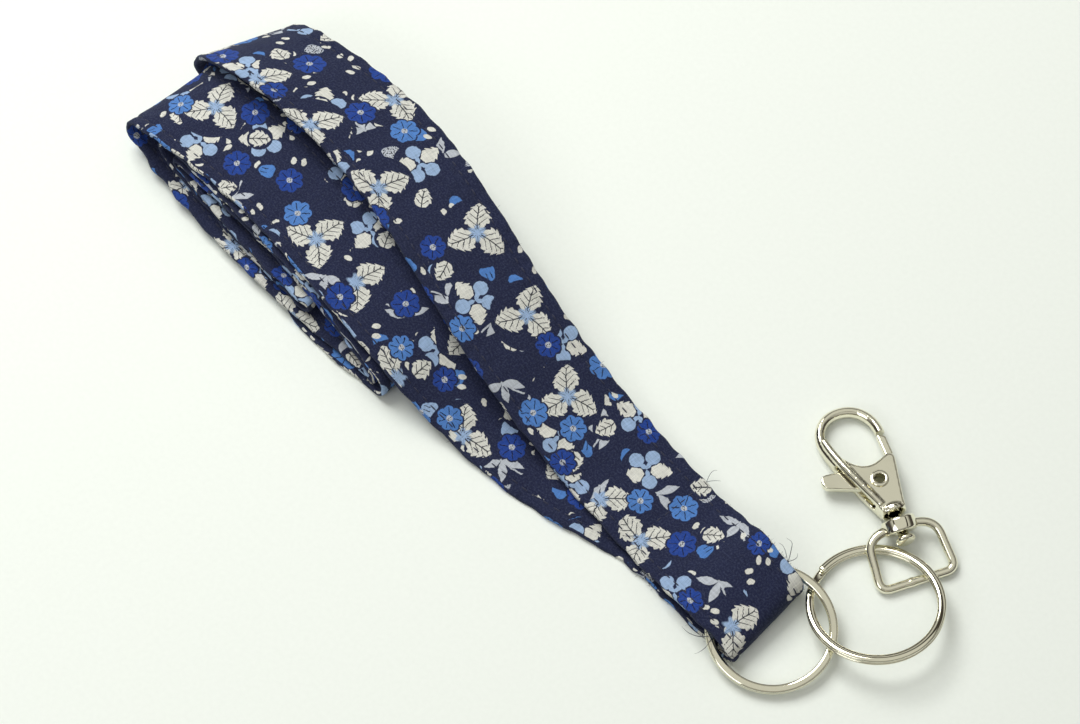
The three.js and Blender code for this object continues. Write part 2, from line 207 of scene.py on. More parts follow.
class Print:
    """The print, built up motif by motif over the ground in cloth coordinates (mm)."""

    def __init__(self, tree, along, around, wobble):
        self.tree, self.along, self.around, self.wobble = tree, along, around, wobble
        self.colour = NAVY

    def scatter(self, spacing, jitter, shift):
        """The place in the nearest motif's own frame, and three random numbers for it.

        The shift moves and turns the grid of motifs, so that no two layers of them line up.
        """
        tree = self.tree
        grid_cos, grid_sin = math.cos(shift) / spacing, math.sin(shift) / spacing
        u = self.along * grid_cos + self.around * grid_sin + shift
        v = self.around * grid_cos - self.along * grid_sin
        node = tree.nodes.new("ShaderNodeTexVoronoi")
        node.voronoi_dimensions = "2D"
        node.inputs["Scale"].default_value = 1.0
        node.inputs["Randomness"].default_value = jitter
        tree.links.new(vector_of(tree, u, v), node.inputs["Vector"])
        place = tree.nodes.new("ShaderNodeSeparateXYZ")
        tree.links.new(node.outputs["Position"], place.inputs[0])
        dice = tree.nodes.new("ShaderNodeSeparateColor")
        tree.links.new(node.outputs["Color"], dice.inputs[0])
        x = (u - Wire(tree, place.outputs[0])) * spacing + self.wobble
        y = (v - Wire(tree, place.outputs[1])) * spacing - self.wobble
        random = [Wire(tree, out) for out in dice.outputs[:3]]
        turn = random[0] * (2 * math.pi)
        cos, sin = turn.cos(), turn.sin()
        return x * cos + y * sin, y * cos - x * sin, random

    def lay(self, colour, mask):
        self.colour = mixed(self.tree, self.colour, colour, mask)

    def leaf(self, x, y, length, width, teeth):
        """A leaf along +x from the origin: its mask and its veins' mask."""
        t = (x / length).op("MAXIMUM", 0.0).op("MINIMUM", 1.0)
        saw = (x / 1.3).op("FRACT")
        half = ((t ** 0.75) * math.pi).sin() * width + (saw * -teeth + teeth)
        inside = (abs(y) - half).less(0.0) * x.more(0.1) * x.less(length)
        middle = abs(y).less(0.13) * x.less(0.86 * length)
        ribs = abs(((x - abs(y) * 0.9) / 1.55).op("FRACT") - 0.5).less(0.075, 0.03)
        ribs = ribs * (abs(y) - half * 0.72).less(0.0) * x.more(0.9)
        return inside, inside * middle.op("MAXIMUM", ribs)

    def ovals(self, spacing, shift, share):
        x, y, dice = self.scatter(spacing, jitter=0.65, shift=shift)
        pair = length_of(x, (abs(y) - 1.15) * 1.6).less(1.0)
        self.lay(CREAM, pair * dice[2].less(share, 0))

    def buds(self):
        x, y, dice = self.scatter(spacing=8.4, jitter=0.5, shift=11.9)
        r, a = length_of(x, y * 1.1), angle_of(x, y)
        tip = (a * 3).cos() * 0.22 + a.cos() * 0.35 + 1.9
        here = dice[2].less(0.62, 0)
        self.lay(NAVY, here * r.less(3.0))
        body = here * (r - tip).less(0.0)
        is_seed = dice[1].less(0.25, 0)
        self.lay(CORNFLOWER, body)
        self.lay(PALE_BLUE, body * dice[1].more(0.8, 0))
        self.lay(GREY_WHITE, body * is_seed)
        speck = noise(self.tree, vector_of(self.tree, x, y), 2.6, 1.0).more(0.55, 0.02)
        self.lay(LINE, body * is_seed * speck)
        slit = abs(abs(y) - 0.5).less(0.1) * x.more(0.3) * r.less(2.0)
        self.lay(LINE, body * slit * dice[1].more(0.25, 0) * dice[0].more(0.5, 0))

    def sprigs(self):
        x, y, dice = self.scatter(spacing=15.5, jitter=0.4, shift=5.3)
        r, a = length_of(x, y), angle_of(x, y)
        here = dice[2].less(0.6, 0)
        self.lay(NAVY, here * r.less(5.8))
        off, spoke = folded(a, 5)
        fx, fy = r * off.cos(), r * off.sin()
        bent = fy + fx * fx * 0.04
        blade = (abs(bent) - ((fx / 5.2).op("MINIMUM", 1.0) * math.pi).sin() * 1.0).less(0.0)
        blade = blade * fx.more(0.2) * fx.less(5.2)
        blade = blade * abs(spoke - 2.0).less(1.2, 0)
        stem = abs(y - x * x * 0.03).less(0.2) * x.more(-0.3) * x.less(5.4)
        self.lay(GREY_WHITE, here * blade.op("MAXIMUM", stem))

    def trefoils(self):
        x, y, dice = self.scatter(spacing=15.8, jitter=0.4, shift=2.6)
        r, a = length_of(x, y), angle_of(x, y)
        here = dice[2].less(0.55, 0)
        self.lay(NAVY, here * r.less(6.0))
        off, spoke = folded(a, 5)
        fx, fy = r * off.cos(), r * off.sin()
        odd = abs(abs(spoke - 2.0) - 1.0).less(0.5, 0)
        jag, _ = self.leaf(fx - 0.9, fy, 4.9, 1.6, 0.6)
        blob = length_of(fx - 3.2, fy).less(1.7)
        self.lay(CREAM, here * odd * jag)
        even = odd * -1.0 + 1.0
        self.lay(PALE_BLUE, here * even * blob)
        self.lay(PALE_BLUE, here * even * abs(fy).less(0.5) * r.less(3.0))

    def leaf_cluster(self, spacing, shift, size, share):
        """Three toothed leaves round a pale star; some clusters have lost a leaf."""
        x, y, dice = self.scatter(spacing, jitter=0.4, shift=shift)
        r, a = length_of(x, y), angle_of(x, y)
        here = dice[2].less(share, 0)
        off, spoke = folded(a, 3)
        kept = (abs(spoke - 1.0).less(0.5, 0) * dice[1].more(0.6, 0)) * -1.0 + 1.0
        self.lay(NAVY, here * kept * r.less(size + 2.0))
        fx, fy = r * off.cos(), r * off.sin()
        inside, veins = self.leaf(fx - 0.14 * size, fy + fx * fx * 0.02, size, 0.4 * size, 0.65)
        self.lay(CREAM, here * kept * inside)
        core = (a * 6.0).cos() * (0.06 * size) + 0.27 * size
        self.lay(PALE_BLUE, here * (r - core).less(0.0, 0.3))
        rays = (abs((a * 4.5).sin()) * r).less(0.2) * r.more(0.7) * r.less(0.33 * size)
        self.lay(LINE, here * kept * veins.op("MAXIMUM", rays) * r.more(0.6))

    def single_leaf(self, spacing, shift, size, share):
        x, y, dice = self.scatter(spacing, jitter=0.5, shift=shift)
        here = dice[2].less(share, 0)
        self.lay(NAVY, here * length_of(x, y).less(0.6 * size))
        inside, veins = self.leaf(x + 0.5 * size, y + x * x * 0.03, size, 0.36 * size, 0.55)
        self.lay(CREAM, here * inside)
        self.lay(LINE, here * veins)

    def flowers(self):
        x, y, dice = self.scatter(spacing=14.0, jitter=0.5, shift=0.7)
        r, a = length_of(x, y), angle_of(x, y)
        here = dice[2].less(0.76, 0)
        lobe = abs((a * 3.5).cos()) ** 0.45
        edge = lobe * 0.8 + 1.95 + dice[2] * 1.05
        self.lay(NAVY, here * (r - edge).less(0.4))
        body = here * (r - edge).less(0.0)
        self.lay(ROYAL, body)
        self.lay(CORNFLOWER, body * dice[1].more(0.62, 0))
        rays = (abs((a * 3.5).sin()) * r).less(0.36) * r.more(0.95) * (r - edge * 0.86).less(0.0)
        self.lay(LINE, body * rays)
        eye = here * r.less(0.7)
        self.lay(GREY_WHITE, eye)
        speck = noise(self.tree, vector_of(self.tree, x, y), 3.2, 1.0).more(0.56, 0.02)
        self.lay(LINE, eye * speck)


def cotton_material():
    material, tree, shader = new_material("printed_cotton")
    place = tree.nodes.new("ShaderNodeAttribute")
    place.attribute_name = "cloth"
    split = tree.nodes.new("ShaderNodeSeparateXYZ")
    tree.links.new(place.outputs["Vector"], split.inputs[0])
    along, around = Wire(tree, split.outputs[0]), Wire(tree, split.outputs[1])
    flat = vector_of(tree, along, around)
    wobble = (noise(tree, flat, 1.4, 2.0) - 0.5) * 0.5
    pattern = Print(tree, along, around, wobble)
    pattern.ovals(spacing=5.9, shift=31.3, share=0.45)
    pattern.buds()
    pattern.sprigs()
    pattern.ovals(spacing=8.8, shift=14.2, share=0.35)
    pattern.trefoils()
    pattern.single_leaf(spacing=12.5, shift=19.1, size=5.0, share=0.45)
    pattern.leaf_cluster(spacing=20.5, shift=7.7, size=6.5, share=0.68)
    pattern.flowers()
    # Plain weave: warp and weft threads pass over and under each other in turn. Besides bumping the
    # face, the thread pattern darkens the colour as painted shade in the dips between threads, and
    # the slub noise gives the yarn's own uneven tone.
    pitch = 0.34
    warp, weft = along * (math.pi / pitch), around * (math.pi / pitch)
    over = warp.sin() * weft.sin()
    threads = abs(warp.cos()) * over.op("MAXIMUM", 0.0) \
        + abs(weft.cos()) * (over * -1.0).op("MAXIMUM", 0.0)
    slub = noise(tree, vector_of(tree, along * 0.25, around * 3.0), 1.0, 3.0) \
        + noise(tree, vector_of(tree, along * 3.0, around * 0.25), 1.0, 3.0)
    # Painted shade from the weave, mixed with the yarn's real slub tone: the print colour is
    # darkened by this factor.
    shade = threads * 0.36 + slub * 0.6 + 0.2
    slub_tone_and_painted_light = mixed(tree, (0.0, 0.0, 0.0, 1.0), pattern.colour, shade.op("MINIMUM", 1.0))
    # Painted highlight: pale blue-grey specks where a fine noise peaks, standing in for sheen on
    # the weave.
    lit = noise(tree, vector_of(tree, along * 2.4, around * 2.4), 1.0, 3.0).more(0.56, 0.12) * 0.12
    slub_tone_and_painted_light = mixed(tree, slub_tone_and_painted_light, srgb(120, 128, 160), lit)
    tree.links.new(slub_tone_and_painted_light, shader.inputs["Base Color"])
    shader.inputs["Roughness"].default_value = 0.88
    shader.inputs["Specular IOR Level"].default_value = 0.25
    shader.inputs["Sheen Weight"].default_value = 0.14
    shader.inputs["Sheen Roughness"].default_value = 0.45
    shader.inputs["Sheen Tint"].default_value = srgb(190, 205, 235)
    crease = noise(tree, flat, 0.35, 4.0)
    bump_into(tree, shader, threads * 0.2 + slub * 0.08 + crease * 0.35, 0.5 * MM)
    return material


def thread_material():
    material, tree, shader = new_material("navy_thread")
    where = tree.nodes.new("ShaderNodeTexCoord")
    mottle = noise(tree, where.outputs["Object"], 2500.0, 2.0)
    colour = mixed(tree, srgb(13, 16, 36), srgb(36, 42, 74), mottle)
    tree.links.new(colour, shader.inputs["Base Color"])
    shader.inputs["Roughness"].default_value = 0.6
    shader.inputs["Sheen Weight"].default_value = 0.1
    bump_into(tree, shader, mottle, 0.05 * MM)
    return material


def metal_material(name, colour, roughness, scratch):
    material, tree, shader = new_material(name)
    where = tree.nodes.new("ShaderNodeTexCoord")
    stretch = tree.nodes.new("ShaderNodeMapping")
    stretch.inputs["Scale"].default_value = (1.0, 0.12, 1.0)
    tree.links.new(where.outputs["Object"], stretch.inputs["Vector"])
    fine = noise(tree, stretch.outputs[0], 1500.0, 4.0)
    broad = noise(tree, where.outputs["Object"], 130.0, 3.0)
    tarnish = mixed(tree, colour, tuple(c * 0.86 for c in colour[:3]) + (1.0,),
                    broad.more(0.62, 0.12) * 0.5)
    tree.links.new(tarnish, shader.inputs["Base Color"])
    rough = fine * (0.6 * roughness) + broad * (0.8 * roughness) + 0.3 * roughness
    tree.links.new(rough.socket, shader.inputs["Roughness"])
    shader.inputs["Metallic"].default_value = 1.0
    bump_into(tree, shader, fine * 0.2 + broad, scratch * MM, 0.5)
    return material


# ---------------------------------------------------------------- mesh helpers

def mesh_object(name, points, faces, material, body, nodes=(), slot=None):
    mesh = bpy.data.meshes.new(name)
    mesh.from_pydata([tuple(p) for p in points], [], faces)
    mesh.polygons.foreach_set("use_smooth", [True] * len(mesh.polygons))
    mesh.materials.append(material)
    mesh.update()
    thing = bpy.data.objects.new(name, mesh)
    bpy.context.scene.collection.objects.link(thing)
    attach(thing, body)
    if nodes:
        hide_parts(*nodes)
    return thing


def loft(rings, closed=False, first=0):
    """Faces over rings of points (count x around x 3), capped unless closed on themselves."""
    count, around = rings.shape[:2]
    faces = []
    for i in range(count if closed else count - 1):
        a, b = first + i * around, first + ((i + 1) % count) * around
        for k in range(around):
            n = (k + 1) % around
            faces.append((a + k, a + n, b + n, b + k))
    if not closed:
        faces.append(tuple(first + k for k in reversed(range(around))))
        faces.append(tuple(first + (count - 1) * around + k for k in range(around)))
    return rings.reshape(-1, 3), faces


def joined(parts):
    """Several (points, faces) pairs as one."""
    points, faces, first = [], [], 0
    for some, their in parts:
        points.append(some)
        faces += [tuple(first + k for k in face) for face in their]
        first += len(some)
    return np.concatenate(points), faces


def unit(v):
    return v / np.maximum(np.linalg.norm(v, axis=-1, keepdims=True), 1e-12)


def tube(path, radius, sides, closed=False):
    """A round tube along a path, with frames carried along it. The radius may vary."""
    path = np.asarray(path, float)
    ahead = np.roll(path, -1, 0) - np.roll(path, 1, 0)
    if not closed:
        ahead[0], ahead[-1] = path[1] - path[0], path[-1] - path[-2]
    ahead = unit(ahead)
    normal = np.cross(ahead[0], [0.0, 0.0, 1.0])
    if np.linalg.norm(normal) < 0.1:
        normal = np.cross(ahead[0], [0.0, 1.0, 0.0])
    normals = []
    for direction in ahead:
        normal = unit(normal - direction * np.dot(normal, direction))
        normals.append(normal)
    normals = np.array(normals)
    other = np.cross(ahead, normals)
    turn = np.linspace(0, 2 * np.pi, sides, endpoint=False)
    radius = np.broadcast_to(np.asarray(radius, float), (len(path),))[:, None, None]
    rings = path[:, None] + radius * (np.cos(turn)[None, :, None] * normals[:, None]
                                      + np.sin(turn)[None, :, None] * other[:, None])
    return loft(rings, closed)


def lathe(profile, segments, closed=True):
    """Revolves (axial, radius) pairs about the local x axis; a closed profile makes a tube."""
    turn = np.linspace(0, 2 * np.pi, segments, endpoint=False)
    rings = np.array([[(x, r * math.cos(a), r * math.sin(a)) for a in turn] for x, r in profile])
    return loft(rings, closed)


def moved(part, matrix):
    points, faces = part
    rotation = np.array(matrix.to_3x3())
    return points @ rotation.T + np.array(matrix.translation), faces


def bezier(hold, samples, endpoint=False):
    """Points on a Bezier curve. Control points given by two numbers lie at z = 0."""
    hold = [np.array((*p, 0.0)[:3], float) for p in hold]
    degree = len(hold) - 1
    u = np.linspace(0, 1, samples, endpoint=endpoint)[:, None]
    return sum(math.comb(degree, k) * (1 - u) ** (degree - k) * u ** k * p
               for k, p in enumerate(hold))


# ---------------------------------------------------------------- the strap's route

WIDTH, THICK = 25.0, 1.4
FLOOR = THICK / 2
NARROWING, SKEW, LEAN = 0.6, 0.125, 0.085      # of the cloth where it folds round the small ring
DROOP, LAG = 0.12, 0.28                        # of its +Y edge over the far end of the roll

ROUTE = {
    "inner_lining": [
        (-42, -22, 7.9), (-48, -22.4, 6.8), (-59, -23, 6.3), (-74, -23, 6.3), (-86, -22.6, 6.2),
        (-91.6, -22.4, 6.4), (-92, -22.3, 8.6), (-86, -22, 9.2), (-76, -21.2, 9.6),
        (-62, -20.2, 9.8), (-46, -20, 9.2), (-34, -20.2, 7.6), (-25, -20.6, 5.6)],
    "outer_lining": [
        (-19.4, -21, 4.7), (-19.4, -21.2, 2.7), (-26, -21.5, 2.5), (-34, -22.5, 2.6),
        (-46, -24.4, 2.6), (-60, -25.6, 2.6), (-76, -26.4, 2.6), (-88, -26.2, 2.7),
        (-98, -25.6, 2.9), (-106.2, -25, 3.6), (-107.2, -24.4, 9), (-100, -23.4, 12)],
    "lower_run": [
        (-90, -21.8, 13), (-78, -20, 13.5), (-64, -19, 13.7), (-48, -19.2, 13.5),
        (-34, -19.4, 12.7), (-22, -19.4, 11.2), (-13, -18.8, 8), (-4, -17.6, 4), (6, -16.4, 1.5),
        (16, -15, 0.7), (28, -12.2, FLOOR), (38, -8.4, FLOOR), (47, -5.6, FLOOR),
        (56, -4.6, FLOOR), (64, -4.2, FLOOR)],
    "ring_fold": [
        (71, -4, FLOOR), (77, -4, 0.74), (82.2, -4, 0.6), (82.2, -4, 6.2), (77, -4, 6.8),
        (70, -4, 7.3), (63, -4, 5.7)],
    "upper_run": [
        (56, -4, 3.2), (50, -4, 2.6), (42, -4, 2.7), (30, -4, 2.8), (18, -3.8, 4.4),
        (6, -3.8, 7.8), (-7, -3.2, 12), (-22, -1.2, 15.6), (-38, 1.2, 18.4), (-54, 2.9, 19.5),
        (-70, 2.6, 19.4), (-84, 1.2, 18.8)],
    "outer_turn": [
        (-94, -0.5, 17.2), (-101.5, -1.8, 14.6), (-106.6, -2.5, 9.6), (-106.3, -2.5, 3.9),
        (-100, -2.6, 1), (-92, -4, 0.72), (-82, -9, FLOOR), (-68, -17, FLOOR),
        (-52, -24, FLOOR), (-37, -25, FLOOR), (-25, -22.6, FLOOR)],
    "inner_turn": [
        (-16, -21.4, 0.8), (-15.4, -21, 6.6), (-23, -20.4, 7.8), (-34, -20, 9.7),
        (-46, -20, 11.2), (-62, -20.2, 11.7), (-76, -20.8, 11.5), (-87, -21.4, 11.1),
        (-97, -22, 10.5), (-98.8, -22.6, 4.8), (-90, -22.8, 4.4), (-74, -23.2, 4.4),
        (-58, -23, 4.4), (-47.5, -22.4, 4.3), (-42, -22, 4)],
}
CONTROL = np.array([p for stretch in ROUTE.values() for p in stretch], float)
FAR_TURN = len(CONTROL) - len(ROUTE["inner_turn"]) - len(ROUTE["outer_turn"])


def smooth(low, high, value):
    u = np.clip((value - low) / (high - low), 0, 1)
    return u * u * (3 - 2 * u)


def route_at(t):
    """Points and directions of the closed cubic B-spline at the given stations."""
    base = np.floor(t).astype(int)
    u = (t - base)[:, None]
    weights = [(1 - u) ** 3 / 6, (3 * u ** 3 - 6 * u ** 2 + 4) / 6,
               (-3 * u ** 3 + 3 * u ** 2 + 3 * u + 1) / 6, u ** 3 / 6]
    slopes = [-(1 - u) ** 2 / 2, (3 * u ** 2 - 4 * u) / 2,
              (-3 * u ** 2 + 2 * u + 1) / 2, u ** 2 / 2]
    near = [CONTROL[(base - 1 + k) % len(CONTROL)] for k in range(4)]
    return sum(w * p for w, p in zip(weights, near)), sum(s * p for s, p in zip(slopes, near))


FINE = 60                                      # samples of the route per control point
fine_t = np.arange(len(CONTROL) * FINE) / FINE
fine_points, _ = route_at(fine_t)
fine_steps = np.linalg.norm(np.roll(fine_points, -1, 0) - fine_points, axis=1)
fine_s, LOOP = np.concatenate([[0], np.cumsum(fine_steps)])[:-1], float(np.sum(fine_steps))


def stations(s):
    """Centre points, the direction across the cloth and the inward normal at arc lengths s."""
    s = np.mod(s, LOOP)
    t = np.interp(s, np.append(fine_s, LOOP), np.append(fine_t, len(CONTROL)))
    point, along = route_at(t)
    along = unit(along)
    rising = smooth(FAR_TURN - 4, FAR_TURN - 1, t)
    droop = DROOP * rising * (1 - smooth(FAR_TURN, FAR_TURN + 3, t))
    lag = LAG * rising * (1 - smooth(FAR_TURN + 3, FAR_TURN + 7, t))
    lean = np.where(along[:, 0] < 0, LEAN * smooth(52, 66, point[:, 0]), 0) - droop
    across = np.stack([np.zeros_like(lean), np.ones_like(lean), lean], 1)
    across = unit(across - along * np.sum(across * along, 1, keepdims=True))
    inward = np.cross(along, across)
    across[:, 0] += lag - SKEW * smooth(62, 76, point[:, 0])
    across *= (1 - 2 * NARROWING / WIDTH * smooth(68, 80, point[:, 0]))[:, None]
    return point, across, inward


def s_of(stretch, x):
    """The arc length where a stretch passes a place along x."""
    names = list(ROUTE)
    before = sum(len(ROUTE[n]) for n in names[:names.index(stretch)])
    mine = (fine_t >= before) & (fine_t < before + len(ROUTE[stretch]))
    k = np.argmin(np.where(mine, np.abs(fine_points[:, 0] - x), 1e9))
    return fine_s[k]


# ---------------------------------------------------------------- the cloth's surface

STITCH_AT = WIDTH / 2 - 3
CLOTH_HALF = 0.6                               # half the cloth's thickness, in mm
EDGE_ROUND = 0.55                              # radius of its rounded edge
STITCH_DIP, SEAM_DIP = 0.27, 0.25              # how far the stitches pull its face in
ROW_STEP = 0.88                                # from one row of the mesh to the next
SEAM_S = s_of("upper_run", 48)
SEAM_BELOW_S = s_of("lower_run", 48)


def ripple(seed, wavelength, spread=0.45, waves=9):
    """A smooth random wave along the loop, about 1 high, that closes on itself."""
    rng = np.random.default_rng(seed)
    cycles = np.round(LOOP / (wavelength * (1 + spread * rng.uniform(-1, 1, waves))))
    phase = rng.uniform(0, 2 * np.pi, waves)
    def wave(s):
        total = sum(np.sin(2 * np.pi * c * s / LOOP + p) for c, p in zip(cycles, phase))
        return total / math.sqrt(waves / 2)
    return wave


puckers = {(edge, side): (ripple(10 + edge + 3 * side, 3.0), ripple(40 + edge + 3 * side, 4.6))
           for edge in (-1, 1) for side in (-1, 1)}
edge_wander = {edge: ripple(70 + edge, 9.0) for edge in (-1, 1)}
sway, roll = ripple(80, 24.0), ripple(81, 19.0)


def bell(x, width):
    return np.exp(-(x / width) ** 2)


def height(s, v, side):
    """How far the cloth's face stands from its middle, in mm, at arc length s and offset v."""
    edge = np.where(v < 0, -1, 1)
    rim = np.abs(v)
    total = CLOTH_HALF - STITCH_DIP * bell(rim - STITCH_AT, 0.5) + 0.05 * bell(rim - 11.2, 0.9)
    for e in (-1, 1):
        outer, inner = puckers[(e, side)]
        mine = edge == e
        total = total + mine * (0.10 * outer(s) * bell(rim - 11.3, 1.3)
                                + 0.075 * inner(s) * bell(rim - 7.9, 1.6))
    for seam in (SEAM_S, SEAM_BELOW_S):
        total = total - SEAM_DIP * bell(s - seam, 0.6) * (rim < STITCH_AT + 1)
        total = total + 0.10 * bell(np.abs(s - seam) - 1.6, 0.8) * np.sin(2.1 * v)
    return total


def drift(s, v):
    """How the whole cloth wanders off its middle line, in mm."""
    return 0.10 * sway(s) + 0.10 * roll(s) * v / (WIDTH / 2)


# Offsets of the mesh's points across half the strap, closer together at the stitches.
HALF_ROW = np.array([0, 1.8, 3.6, 5.2, 6.5, 7.5, 8.3, 8.9, 9.25, 9.5, 9.75, 10.1, 10.7, 11.3,
                     WIDTH / 2 - EDGE_ROUND])
EDGE_STEPS = 5


def make_section():
    """Offsets across, tilt of the face (90 inward, -90 outward) and distance round, in order."""
    row = np.concatenate([-HALF_ROW[:0:-1], HALF_ROW])
    bend = np.linspace(90, -90, EDGE_STEPS + 2)[1:-1]
    flat = WIDTH / 2 - EDGE_ROUND
    v = np.concatenate([row, flat + EDGE_ROUND * np.cos(np.radians(bend)), row[::-1],
                        -flat - EDGE_ROUND * np.cos(np.radians(bend[::-1]))])
    tilt = np.concatenate([np.full(len(row), 90.0), bend, np.full(len(row), -90.0), bend[::-1]])
    around = np.cumsum(np.abs(np.diff(v, prepend=v[0])) + 0.25 * (np.abs(tilt) < 89))
    return v, np.radians(tilt), around


def cloth_points(s, v, tilt):
    """Surface points for a grid of arc lengths and section places."""
    point, across, inward = stations(s)
    S, V = np.meshgrid(s, v, indexing="ij")
    T = np.broadcast_to(tilt, V.shape)
    up = height(S, V, 1) * np.clip(np.sin(T), 0, 1) - height(S, V, -1) * np.clip(-np.sin(T), 0, 1)
    lips = 0.22 * bell(np.degrees(T), 14.0) * (V < 0)
    wander = 0.12 * np.stack([edge_wander[-1](s), edge_wander[1](s)], 1) - 0.15
    out = np.where(V < 0, -wander[:, :1], wander[:, 1:]) * smooth(9.5, 12.5, np.abs(V))
    placed = V + out + lips
    up = up + drift(S, V)
    grid = point[:, None] + placed[..., None] * across[:, None] + up[..., None] * inward[:, None]
    grid[..., 2] = np.maximum(grid[..., 2], 0.02)
    return grid


def on_cloth(s, v, side, lift):
    """Points a little above the cloth's face, for threads."""
    point, across, inward = stations(s)
    up = side * (height(s, v, side) + lift) + drift(s, v)
    return point + v[:, None] * across + up[:, None] * inward


def make_strap(material):
    v, tilt, around = make_section()
    rows = round(LOOP / ROW_STEP)
    s = np.arange(rows) * LOOP / rows
    grid = (cloth_points(s, v, tilt) + CENTRE) * MM
    points, faces = loft(grid, closed=True)
    faces = [face[::-1] for face in faces]
    strap = mesh_object(
        "strap", points, faces, material, "strap",
        ["strap_lower_run", "strap_roll_inner_lining", "strap_roll_outer_lining",
         "strap_ring_fold", "strap_upper_run", "strap_roll_outer_turn", "strap_roll_inner_turn"],
        "cloth")
    count = len(v)
    whole = around[-1] + 0.3
    place = np.zeros((rows, count, 4, 3), np.float32)
    s_low, s_high = s, s + LOOP / rows
    g_low, g_high = around, np.append(around[1:], whole)
    corners = [(s_high, g_low), (s_high, g_high), (s_low, g_high), (s_low, g_low)]
    for corner, (S, G) in enumerate(corners):
        place[:, :, corner, 0] = S[:, None]
        place[:, :, corner, 1] = G[None, :]
    layer = strap.data.attributes.new("cloth", "FLOAT_VECTOR", "CORNER")
    layer.data.foreach_set("vector", place.reshape(-1))


# ---------------------------------------------------------------- stitches and loose threads

TOPSTITCH_PITCH, CROSS_PITCH = 2.7, 2.3        # from one stitch to the next, in mm


def stitch_row(centres, at, side, along, rng, stitch=1.8, thick=0.16):
    """Short capsules along the strap at an offset, or across it at an arc length."""
    ease = np.array([-1, -0.8, -0.3, 0.3, 0.8, 1.0]) * stitch / 2
    lift = np.array([-0.22, -0.02, 0.06, 0.06, -0.02, -0.22])
    girth = np.array([0.35, 0.85, 1, 1, 0.85, 0.35]) * thick
    jog = rng.uniform(-0.07, 0.07, len(centres))[:, None]
    lean = rng.uniform(-0.05, 0.05, len(centres))[:, None] * ease
    if along:
        S, V = centres[:, None] + ease, at + lean + jog
    else:
        S, V = at + jog + lean, centres[:, None] + ease
    L = np.broadcast_to(lift, S.shape)
    path = on_cloth(S.ravel(), V.ravel(), side, L.ravel()).reshape(*S.shape, 3)
    return [tube((line + CENTRE) * MM, girth * MM, 6) for line in path]


def make_stitching(material):
    rng = np.random.default_rng(5)
    count = round(LOOP / TOPSTITCH_PITCH)
    pitch = LOOP / count
    parts = []
    for edge in (-1, 1):
        for side in (-1, 1):
            centres = np.arange(count) * pitch + rng.uniform(0, pitch)
            parts += stitch_row(centres, edge * STITCH_AT, side, True, rng)
    points, faces = joined(parts)
    points[:, 2] = np.maximum(points[:, 2], 0.01 * MM)
    mesh_object("topstitching", points, faces, material, "strap",
                ["topstitch_lower_left", "topstitch_lower_right",
                 "topstitch_upper_left", "topstitch_upper_right"], "thread")
    parts = []
    for seam, sides in ((SEAM_S, (-1, 1)), (SEAM_BELOW_S, (1,))):
        for side in sides:
            parts += stitch_row(np.arange(-8.6, 8.7, CROSS_PITCH), seam, side, False, rng)
    points, faces = joined(parts)
    mesh_object("cross_seam_stitches", points, faces, material, "strap", ["cross_seam"], "thread")


def strand(start, steps, radius, sides=5, samples=14):
    """A thin thread through a start point and offsets from it, smoothed by a Bezier curve."""
    path = bezier([start] + [np.add(start, step) for step in steps], samples, endpoint=True)
    path[:, 2] = np.maximum(path[:, 2], 0.12)
    taper = radius * (1 - 0.75 * np.linspace(0, 1, samples) ** 3)
    return tube((path + CENTRE) * MM, taper * MM, sides)


def point_on_cloth(s, v, side=-1, lift=0.0):
    return on_cloth(np.array([s]), np.array([v]), side, np.array([lift]))[0]


def make_loose_threads(material):
    """Sewing tails at the fold's two corners and at the cross seam, and fibres at the edges."""
    fold_s, tunnel_s = s_of("ring_fold", 77), s_of("upper_run", 56)
    right = point_on_cloth(tunnel_s - 21.0, 12.2)
    left = point_on_cloth(tunnel_s - 20.0, -12.2)
    seam = point_on_cloth(SEAM_S, 12.3)
    tails = [
        (right, 0.085, [(-0.5, 1.8, 0.5), (-2.6, 2.6, 1.2), (-1.0, 3.6, 2.6), (-3.8, 2.9, 2.0)]),
        (right, 0.07, [(0.9, 1.2, 0.8), (1.4, 1.8, 1.8), (0.2, 2.6, 1.2)]),
        (right, 0.065, [(-1.5, 0.9, 0.2), (-3.2, 2.2, 0.4), (-4.4, 1.2, 0.8)]),
        (left, 0.085, [(-0.6, -2.2, 0.2), (-3.2, -3.8, -0.8), (-6.2, -3.2, -1.8)]),
        (left, 0.07, [(1.2, -1.6, 0.4), (1.6, -3.6, -0.6), (0.2, -5.2, -2.2)]),
        (left, 0.065, [(-2.0, -1.2, 0.6), (-4.6, -2.6, 0.6), (-6.4, -1.2, -0.2)]),
        (seam, 0.06, [(0.8, 1.2, 0.8), (2.0, 2.6, 0.2)]),
        (seam, 0.06, [(-0.8, 1.4, 0.2), (-1.4, 2.8, 0.9), (-0.4, 3.6, 0.4)]),
    ]
    threads = [strand(root, steps, radius) for root, radius, steps in tails]
    mesh_object("loose_threads", *joined(threads), material, "strap", slot="thread")
    rng = np.random.default_rng(17)
    # How many fibres stand between two arc lengths: at the fold, along the run, and anywhere.
    zones = [(150, fold_s - 12, fold_s + 12),
             (90, s_of("lower_run", 20), tunnel_s + 30),
             (220, 0, LOOP)]
    places = [(rng.uniform(low, high), rng.choice((-1, 1)))
              for count, low, high in zones for _ in range(count)]
    fibres = []
    for s, edge in places:
        side = rng.choice((-1, 1))
        root = point_on_cloth(s, edge * rng.uniform(11.9, 12.4), side, -0.25)
        _, across, inward = (q[0] for q in stations(np.array([s])))
        out = edge * across * rng.uniform(0.5, 1.2) + side * inward * rng.uniform(0, 0.7)
        stray = rng.normal(0, 0.45, 3)
        size = rng.uniform(0.3, 0.9)
        fibres.append(strand(root, [out * 0.5 * size, out * size + stray * size * 0.7],
                             radius=0.022, sides=3, samples=5))
    mesh_object("edge_fuzz", *joined(fibres), material, "strap", slot="thread")


# ---------------------------------------------------------------- metal

